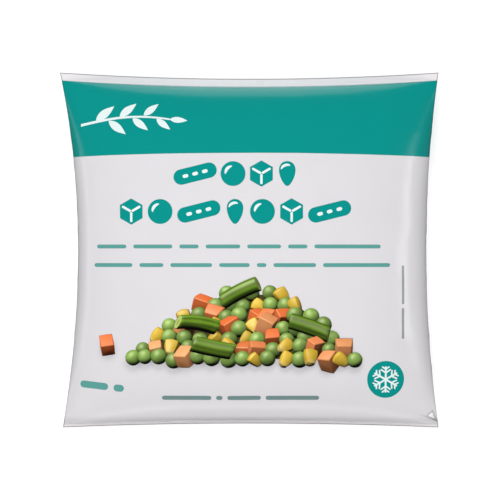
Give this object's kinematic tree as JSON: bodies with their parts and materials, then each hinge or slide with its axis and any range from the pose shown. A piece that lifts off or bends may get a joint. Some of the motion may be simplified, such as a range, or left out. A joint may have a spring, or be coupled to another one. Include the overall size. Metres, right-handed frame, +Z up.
{
  "type": "frozen vegetable bag",
  "caption": "Sealed pillow bag of frozen mixed vegetables in white film with a green band, lying flat with its printed front up.",
  "frame": {"origin": "middle of the bag's bounding box, on the surface that it lies on", "axes": "+X across the bag from its left side to its right as printed, +Y up the print towards the top seal, +Z up out of the printed front"},
  "size_m": [0.24, 0.225, 0.0544],
  "materials": {
    "film_white": "satin white printed polyethylene film",
    "ink_green": "satin blue-green ink on the film",
    "ink_grey": "satin grey-green ink on the film",
    "ink_picture": "satin picture inks on the film, greens, oranges and yellows"
  },
  "bodies": {
    "root": {"bag": "film_white"}
  },
  "joints": []
}
